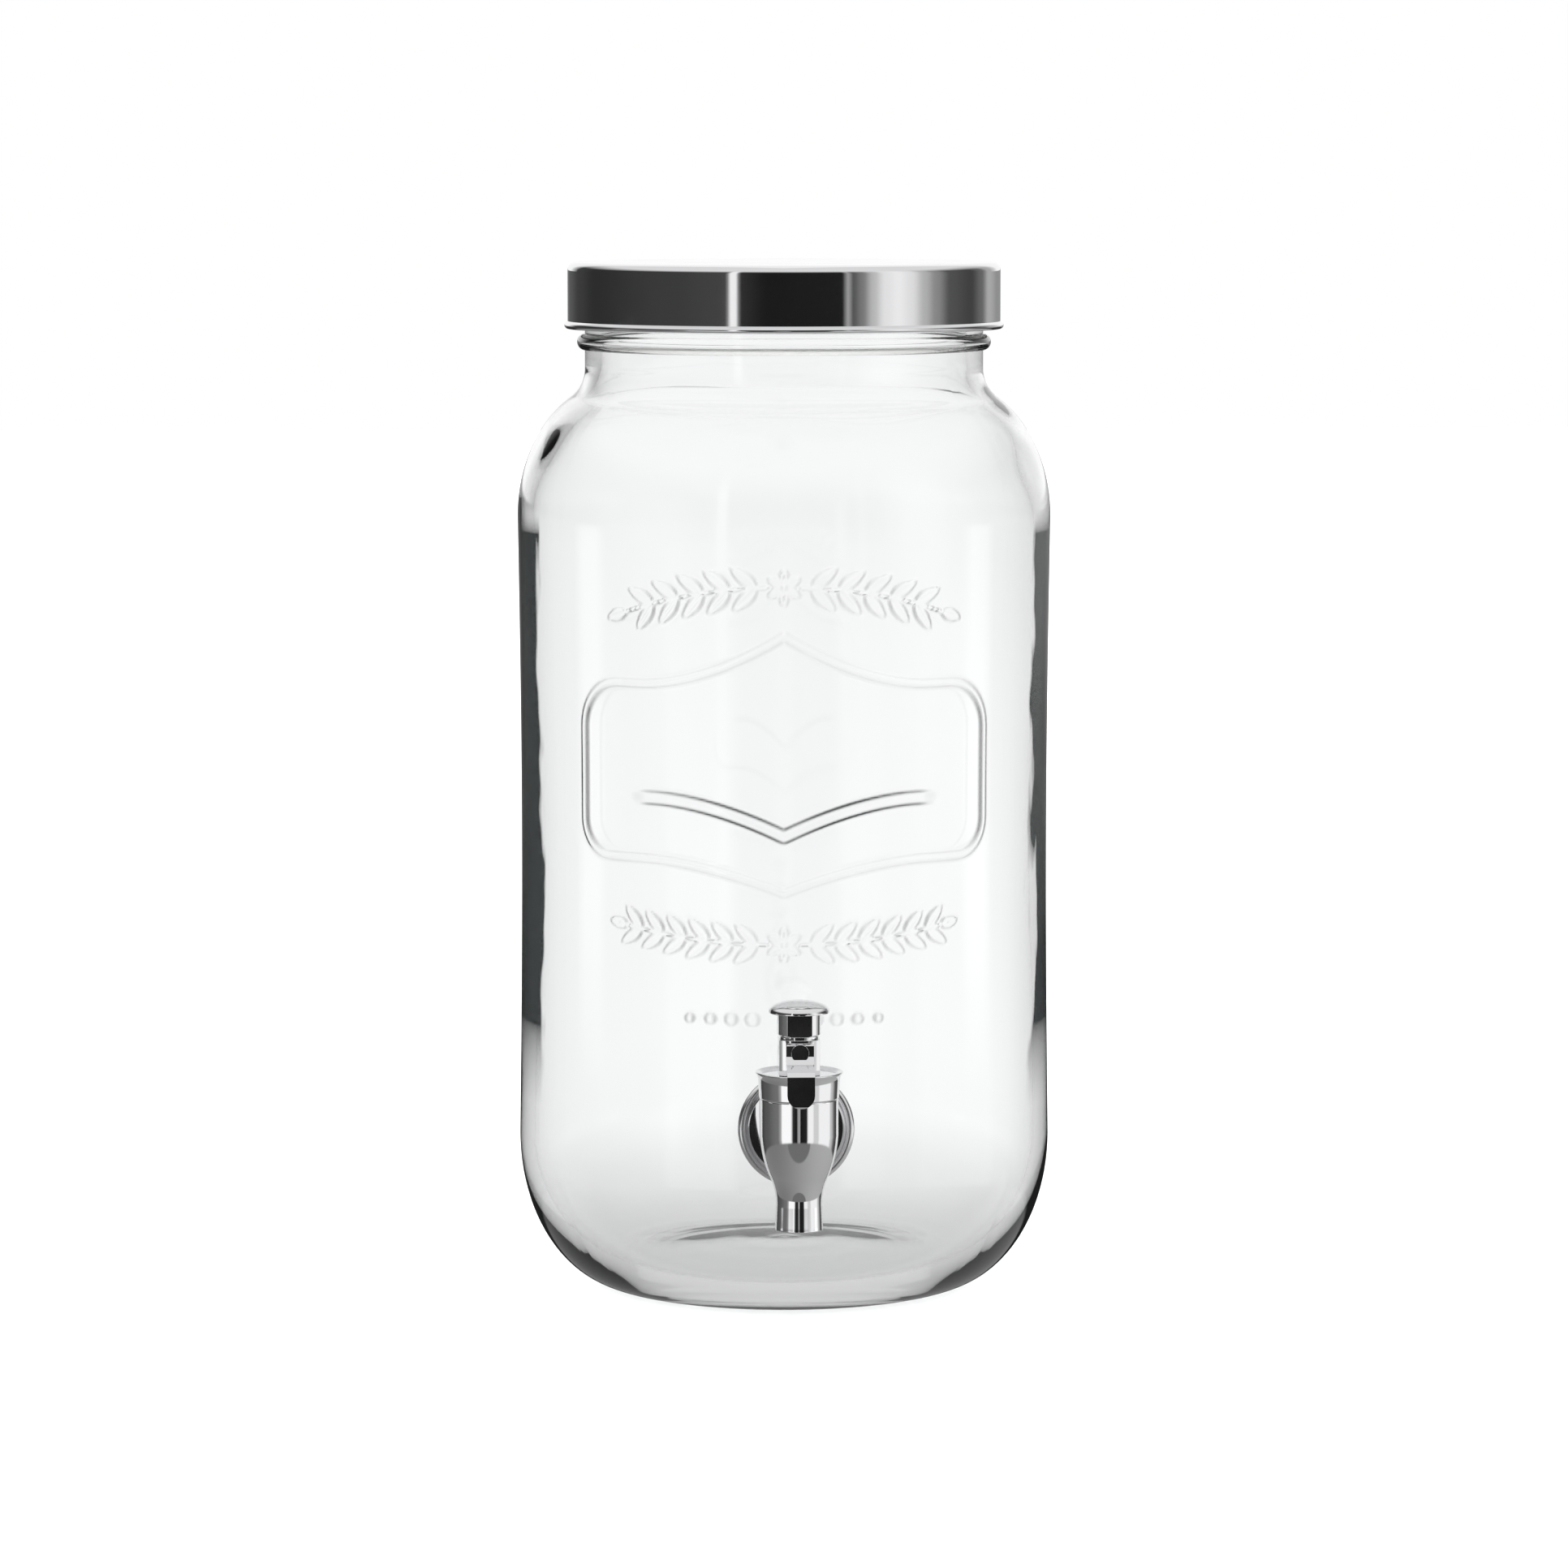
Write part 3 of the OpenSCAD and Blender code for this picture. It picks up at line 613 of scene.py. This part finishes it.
def make_spring():
    """Compression spring round the valve stem."""
    low, high = SPRING_LOW[2] + WIRE_R, SPRING_HIGH[2] - WIRE_R
    along = np.linspace(0, 1, COIL_TURNS * 32 + 1)[:, None]
    turn = 2 * math.pi * COIL_TURNS * along
    b = np.linspace(0, -2 * math.pi, 12, endpoint=False)
    r = COIL_R + WIRE_R * np.cos(b)
    z = low + (high - low) * along + WIRE_R * np.sin(b)
    grid = np.stack([r * np.cos(turn), r * np.sin(turn), z + 0 * turn], -1) + np.array(TAP_AXIS)
    mesh = grid_mesh("coil_spring", grid, close_rows=False)
    ob = finish_piece(link_object("coil_spring", mesh), "jar", "return_spring")
    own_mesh(ob)
    return ob


def make_softened(name, source, body, width):
    """A copy of a CAD node with its corners rounded, as a casting's are."""
    mesh = frame["nodes"][source].data.copy()
    mesh.name = name
    work = bmesh.new()
    work.from_mesh(mesh)
    bmesh.ops.remove_doubles(work, verts=work.verts, dist=1e-6)
    bmesh.ops.dissolve_limit(work, angle_limit=math.radians(0.5), verts=work.verts, edges=work.edges)
    work.to_mesh(mesh)
    work.free()
    ob = link_object(name, mesh)
    mod = ob.modifiers.new("round", "BEVEL")
    mod.limit_method = "ANGLE"
    mod.angle_limit = math.radians(32)
    mod.width = width * MM
    mod.segments = 3
    mod.use_clamp_overlap = True
    mesh.shade_smooth()
    ob.modifiers.new("flats", "WEIGHTED_NORMAL")
    apply_modifiers(ob)
    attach(ob, body)
    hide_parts(source)
    return ob


# ---------------------------------------------------------------- materials


def new_material(name):
    mat = bpy.data.materials.new(name)
    mat.use_nodes = True
    tree = mat.node_tree
    shader = tree.nodes["Principled BSDF"]
    return mat, tree, shader


def noise(tree, scale, detail=3.0, rough=0.5, stretch=None):
    coord = tree.nodes.new("ShaderNodeTexCoord")
    node = tree.nodes.new("ShaderNodeTexNoise")
    node.inputs["Scale"].default_value = scale
    node.inputs["Detail"].default_value = detail
    node.inputs["Roughness"].default_value = rough
    if stretch:
        mapping = tree.nodes.new("ShaderNodeMapping")
        mapping.inputs["Scale"].default_value = stretch
        tree.links.new(coord.outputs["Object"], mapping.inputs["Vector"])
        tree.links.new(mapping.outputs["Vector"], node.inputs["Vector"])
    else:
        tree.links.new(coord.outputs["Object"], node.inputs["Vector"])
    return node.outputs["Fac"]


def spread(tree, source, low, high, start=0.3, stop=0.7):
    """Runs from low to high while source runs from start to stop, and stays level outside them."""
    node = tree.nodes.new("ShaderNodeMapRange")
    node.inputs["From Min"].default_value = start
    node.inputs["From Max"].default_value = stop
    node.inputs["To Min"].default_value = low
    node.inputs["To Max"].default_value = high
    tree.links.new(source, node.inputs["Value"])
    return node.outputs["Result"]


def set_inputs(tree, node, values):
    """Sets a node's inputs in order. A value is a constant, another node's output, or None for no change."""
    for socket, value in zip(node.inputs, values):
        if isinstance(value, bpy.types.NodeSocket):
            tree.links.new(value, socket)
        elif value is not None:
            socket.default_value = value


def node_maths(tree, operation, a, b=None, clamp=False):
    node = tree.nodes.new("ShaderNodeMath")
    node.operation = operation
    node.use_clamp = clamp
    set_inputs(tree, node, (a, b))
    return node.outputs[0]


def node_vector(tree, operation, a, b=None):
    node = tree.nodes.new("ShaderNodeVectorMath")
    node.operation = operation
    set_inputs(tree, node, (a, b))
    return node.outputs["Value" if operation == "DOT_PRODUCT" else "Vector"]


def bump(tree, shader, source, distance):
    node = tree.nodes.new("ShaderNodeBump")
    node.inputs["Strength"].default_value = 1.0
    node.inputs["Distance"].default_value = distance
    tree.links.new(source, node.inputs["Height"])
    tree.links.new(node.outputs["Normal"], shader.inputs["Normal"])


def height_band(tree, z, low, high):
    """1 between two heights. It fades in over the pair `low` and out over the pair `high`."""
    return node_maths(tree, "MULTIPLY", spread(tree, z, 0, 1, *low), spread(tree, z, 1, 0, *high))


def painted_relief_shade(tree, x, z, outside, sideways, upright):
    """How much shade is painted on the flanks of the moulded relief: less near the jar's middle, more on the
    ribbon.
    """
    maths, ramp = partial(node_maths, tree), partial(spread, tree)
    off_middle = maths("ABSOLUTE", x)
    ribbon = maths("MULTIPLY", ramp(upright, 0, 2.0, 0.15, 0.5), height_band(tree, z, *RIBBON_BAND))
    ribbon = maths("MULTIPLY", ribbon, ramp(off_middle, 1, 0, 0.0, 0.05))
    level = maths("ADD", ramp(upright, 0, 1, 0.3, 0.7), ribbon)
    painted_flank_shade = maths("ADD", ramp(sideways, 0, 0.8, 0.08, 0.36), level)
    painted_flank_shade = maths("MULTIPLY", painted_flank_shade, ramp(off_middle, 0.35, 1.0, 0.0, 0.055))
    painted_flank_shade = maths("MULTIPLY", painted_flank_shade, height_band(tree, z, *RELIEF_BAND))
    return maths("MULTIPLY", painted_flank_shade, outside)


def painted_edge_shade(tree, x, z, outside):
    """1 where shade is painted on the jar's side as it is seen edge on, with a ragged border that reaches
    further in at its left.
    """
    maths, ramp = partial(node_maths, tree), partial(spread, tree)
    edge_on = tree.nodes.new("ShaderNodeLayerWeight")
    edge_on.inputs["Blend"].default_value = 0.5
    ragged = ramp(noise(tree, 38, 3, 0.6, (1, 1, 0.3)), -0.1, 0.1, 0.3, 0.7)
    lopsided = ramp(x, 0.0, -0.07, -0.08, 0.08)
    edge = maths("ADD", maths("ADD", edge_on.outputs["Facing"], ragged), lopsided)
    edge = maths("MULTIPLY", ramp(edge, 0, 1, EDGE_FROM, EDGE_TO), outside)
    return maths("MULTIPLY", edge, height_band(tree, z, *EDGE_BAND))


def glass():
    """Clear glass. Shade is painted into its colour at the jar's sides, on the flanks of the moulded relief and
    at the heel, where thick glass bends the light away. It casts almost no shadow."""
    mat, tree, shader = new_material("clear_glass")
    nodes, links = tree.nodes, tree.links
    maths, vector = partial(node_maths, tree), partial(node_vector, tree)
    shader.inputs["Transmission Weight"].default_value = 1.0
    shader.inputs["IOR"].default_value = 1.5
    links.new(spread(tree, noise(tree, 9, 2), 0.0, 0.012), shader.inputs["Roughness"])

    coord = nodes.new("ShaderNodeTexCoord")
    split = nodes.new("ShaderNodeSeparateXYZ")
    place, normal = coord.outputs["Object"], coord.outputs["Normal"]
    links.new(place, split.inputs["Vector"])
    x, z = split.outputs["X"], split.outputs["Z"]
    outward = vector("NORMALIZE", vector("MULTIPLY", place, (1, 1, 0)))
    along = vector("CROSS_PRODUCT", (0, 0, 1), outward)
    outside = spread(tree, vector("DOT_PRODUCT", normal, outward), 0, 1, 0.1, 0.2)
    sideways = maths("ABSOLUTE", vector("DOT_PRODUCT", normal, along))
    upright = maths("ABSOLUTE", vector("DOT_PRODUCT", normal, (0, 0, 1)))

    # painted shade on the flanks of the moulded relief
    painted_flank_shade = painted_relief_shade(tree, x, z, outside, sideways, upright)
    # painted shade at the heel: darkest at the foot, gone by 4 cm up
    heel = spread(tree, z, HEEL_PAINTED_SHADE, 0, *HEEL_FADE)
    # all the painted shade: the edge shade, or the relief and heel shade added together, whichever is more
    painted_shade = maths("MAXIMUM", painted_edge_shade(tree, x, z, outside), maths("ADD", painted_flank_shade, heel), clamp=True)
    # mixes the painted shade into the glass's clear colour
    painted_shade_mix = nodes.new("ShaderNodeMix")
    painted_shade_mix.data_type = "RGBA"
    painted_shade_mix.inputs["A"].default_value = CLEAR_TINT
    painted_shade_mix.inputs["B"].default_value = PAINTED_SHADE_COLOUR
    links.new(painted_shade, painted_shade_mix.inputs["Factor"])
    links.new(painted_shade_mix.outputs["Result"], shader.inputs["Base Color"])

    clear = nodes.new("ShaderNodeBsdfTransparent")
    clear.inputs["Color"].default_value = (0.93, 0.94, 0.94, 1)
    path = nodes.new("ShaderNodeLightPath")
    mix = nodes.new("ShaderNodeMixShader")
    links.new(path.outputs["Is Shadow Ray"], mix.inputs["Fac"])
    links.new(shader.outputs["BSDF"], mix.inputs[1])
    links.new(clear.outputs["BSDF"], mix.inputs[2])
    links.new(mix.outputs["Shader"], nodes["Material Output"].inputs["Surface"])
    return mat


def polished_metal(name, colour, rough_low, rough_high):
    mat, tree, shader = new_material(name)
    shader.inputs["Base Color"].default_value = (*colour, 1)
    shader.inputs["Metallic"].default_value = 1.0
    smudge = noise(tree, 60, 4, 0.6)
    tree.links.new(spread(tree, smudge, rough_low, rough_high), shader.inputs["Roughness"])
    return mat


def brushed_metal(name, colour, rough, stretch):
    mat, tree, shader = new_material(name)
    shader.inputs["Base Color"].default_value = (*colour, 1)
    shader.inputs["Metallic"].default_value = 1.0
    lines = noise(tree, 900, 3, 0.6, stretch)
    tree.links.new(spread(tree, lines, rough * 0.7, rough * 1.4), shader.inputs["Roughness"])
    bump(tree, shader, lines, 0.00002)
    return mat


def moulded(name, colour, rough, soft=0.0):
    mat, tree, shader = new_material(name)
    shader.inputs["Roughness"].default_value = rough
    shader.inputs["Subsurface Weight"].default_value = soft
    shader.inputs["Subsurface Radius"].default_value = (0.004, 0.004, 0.004)
    tone = tree.nodes.new("ShaderNodeMix")
    tone.data_type = "RGBA"
    tone.inputs["A"].default_value = (*[c * 0.93 for c in colour], 1)
    tone.inputs["B"].default_value = (*colour, 1)
    tree.links.new(spread(tree, noise(tree, 40, 3), 0, 1), tone.inputs["Factor"])
    tree.links.new(tone.outputs["Result"], shader.inputs["Base Color"])
    bump(tree, shader, noise(tree, 700, 3), 0.00003)
    return mat


def dress(ob, mat):
    """Gives a piece its material."""
    ob.data.materials.clear()
    ob.data.materials.append(mat)


def dull_rim(plate, mat):
    """Gives the plate's rolled rim a material of its own."""
    plate.data.materials.append(mat)
    for face in plate.data.polygons:
        x, _, z = face.center / MM
        face.material_index = int(math.hypot(x, z - TAP_Z) > FLANGE_R - FLANGE_RIM)


# ---------------------------------------------------------------- studio


def ring(tree, place, stops):
    """Brightness all round the studio, from (degrees to the right of the camera, brightness) stops."""
    ramp = tree.nodes.new("ShaderNodeValToRGB")
    ramp.color_ramp.interpolation = "EASE"
    elements = ramp.color_ramp.elements
    while len(elements) < len(stops):
        elements.new(0.5)
    for element, (degrees, value) in zip(elements, stops):
        element.position = degrees / 360 + 0.5
        element.color = (value, value, value, 1)
    tree.links.new(place, ramp.inputs["Fac"])
    return ramp.outputs["Color"]


def studio_world():
    """White for the eye, nearly white through the glass, and brighter than white for matt surfaces. A mirror
    sees the studio: lights and dark cards all round, side strips, a ceiling and a table. A reflection inside
    the glass sees only a share of it, so the glass stays light."""
    world = bpy.data.worlds.new("studio")
    scene.world = world
    world.use_nodes = True
    tree = world.node_tree
    tree.nodes.clear()
    maths = partial(node_maths, tree)
    coord = tree.nodes.new("ShaderNodeTexCoord")
    split = tree.nodes.new("ShaderNodeSeparateXYZ")
    tree.links.new(coord.outputs["Generated"], split.inputs["Vector"])
    x, y, z = split.outputs["X"], split.outputs["Y"], split.outputs["Z"]

    def blend(a, b, share):
        return maths("ADD", maths("MULTIPLY", a, maths("SUBTRACT", 1, share)), maths("MULTIPLY", b, share))

    def ramp_up(value, start, stop):
        """0 before start, 1 after stop."""
        return maths("DIVIDE", maths("SUBTRACT", value, start), stop - start, clamp=True)

    def oval_distance(across, down):
        """Squared distance from the middle of the shade on the table, 1 at its edge."""
        a = maths("POWER", maths("DIVIDE", across, SHADE_HALF), 2)
        b = maths("POWER", maths("DIVIDE", maths("SUBTRACT", down, SHADE_Z), SHADE_TALL), 2)
        return maths("ADD", a, b)

    around = maths("SUBTRACT", maths("ARCTAN2", x, maths("MULTIPLY", y, -1)), ORNAMENT_TURN)
    aside = maths("ABSOLUTE", around)
    place = maths("ADD", maths("DIVIDE", around, 2 * math.pi), 0.5)
    lights = blend(ring(tree, place, EYE_LEVEL), ring(tree, place, TABLE_LEVEL), ramp_up(z, *TABLE_LIGHTS_Z))
    mirror = blend(lights, CEILING, ramp_up(z, *CEILING_Z))
    behind = maths("MULTIPLY", ramp_up(aside, *BEHIND_SIDE), ramp_up(z, *BEHIND_Z))
    mirror = blend(mirror, BACKDROP, behind)

    off_strip = maths("ABSOLUTE", maths("SUBTRACT", aside, STRIP_AT))
    strip = maths("MULTIPLY", ramp_up(off_strip, *STRIP_SIDE), ramp_up(z, *STRIP_BOTTOM))
    strip = maths("MULTIPLY", strip, ramp_up(z, *STRIP_TOP))
    mirror = maths("ADD", mirror, maths("MULTIPLY", strip, SIDE_STRIPS))

    table = maths("ADD", maths("MULTIPLY", x, TABLE_SLOPE), TABLE)
    table = blend(TABLE_SHADE, table, ramp_up(oval_distance(around, z), 0.85, 1.1))
    mirror = blend(mirror, table, ramp_up(z, *TABLE_Z))

    through = blend(BEHIND_GLASS, OVER_GLASS, ramp_up(z, *OVER_GLASS_Z))
    inside_share = blend(INSIDE_GLASS, INSIDE_BASE, ramp_up(z, *BASE_Z))
    path = tree.nodes.new("ShaderNodeLightPath")
    mirrored = maths("GREATER_THAN", path.outputs["Glossy Depth"], 0.5)
    refracted = maths("GREATER_THAN", path.outputs["Transmission Depth"], 0.5)
    scattered = maths("GREATER_THAN", path.outputs["Diffuse Depth"], 0.5)
    mirror = blend(mirror, blend(through, mirror, inside_share), refracted)
    strength = blend(BACKDROP, through, refracted)
    strength = blend(strength, mirror, mirrored)
    strength = blend(strength, LAMPS, scattered)

    shader = tree.nodes.new("ShaderNodeBackground")
    shader.inputs["Color"].default_value = (1, 1, 1, 1)
    output = tree.nodes.new("ShaderNodeOutputWorld")
    tree.links.new(strength, shader.inputs["Strength"])
    tree.links.new(shader.outputs["Background"], output.inputs["Surface"])


def studio_floor():
    """Pale floor that mirrors and glass don't see: the world stands for the table there."""
    mesh = bpy.data.meshes.new("floor")
    half = 6.0
    corners = [(-half, -half, 0), (half, -half, 0), (half, half, 0), (-half, half, 0)]
    mesh.from_pydata(corners, [], [(0, 1, 2, 3)])
    ob = bpy.data.objects.new("floor", mesh)
    scene.collection.objects.link(ob)
    mat, tree, shader = new_material("floor")
    shader.inputs["Base Color"].default_value = (0.93, 0.93, 0.93, 1)
    shader.inputs["Roughness"].default_value = 1.0
    shader.inputs["Specular IOR Level"].default_value = 0.0
    mesh.materials.append(mat)
    ob.visible_glossy = False
    ob.visible_transmission = False


def camera():
    """In line with the middle of the ornament, a little above the jar's rim and tilted down."""
    distance, height, pitch = 1.903, 0.3507, math.radians(5.84)
    azimuth = ORNAMENT_TURN
    data = bpy.data.cameras.new("camera")
    data.sensor_width = 36
    data.lens = 141.1
    data.clip_start, data.clip_end = 0.1, 50
    ob = bpy.data.objects.new("camera", data)
    scene.collection.objects.link(ob)
    ob.location = (math.sin(azimuth) * distance, -math.cos(azimuth) * distance, height)
    ob.rotation_euler = (math.pi / 2 - pitch, 0, azimuth)
    scene.camera = ob


# ---------------------------------------------------------------- the scene

camera()
studio_world()
studio_floor()
scene.view_settings.view_transform = "Standard"

chrome = polished_metal("tap_chrome", (0.86, 0.86, 0.87), 0.02, 0.07)
satin = polished_metal("tap_chrome_satin", (0.86, 0.86, 0.87), 0.2, 0.28)
lid_metal = polished_metal("lid_metal", (0.84, 0.84, 0.85), 0.03, 0.07)
steel = brushed_metal("nut_steel", (0.62, 0.62, 0.63), 0.28, (1, 1, 0.05))
wire = brushed_metal("spring_steel", (0.55, 0.55, 0.56), 0.25, (1, 1, 1))
silicone = moulded("silicone", (0.82, 0.82, 0.8), 0.45, 0.35)
plastic = moulded("white_plastic", (0.86, 0.86, 0.84), 0.32, 0.1)
rubber = moulded("black_rubber", (0.03, 0.03, 0.03), 0.6)

dress(make_jar(), glass())
dress(make_lid(), lid_metal)
for piece in (make_tap_body(), make_bonnet(), make_softened("lever_casting", "lever", "lever", 0.3)):
    dress(piece, chrome)
plate = make_flange()
dress(plate, chrome)
dull_rim(plate, satin)
dress(make_spring(), wire)
dress(make_softened("hex_nut", "lock_nut", "jar", 0.4), steel)
nodes = frame["nodes"]
for slot_name, mat, names in (
    ("nut_steel", steel, ("valve_stem", "pivot_pin")),
    ("silicone", silicone, ("outer_gasket", "inner_gasket", "lid_gasket", "seat_cup")),
    ("white_plastic", plastic, ("inner_washer", "lid_insert")),
    ("black_rubber", rubber, ("bonnet_seal", "stem_o_ring")),
):
    for name in names:
        dress(nodes[name], mat)
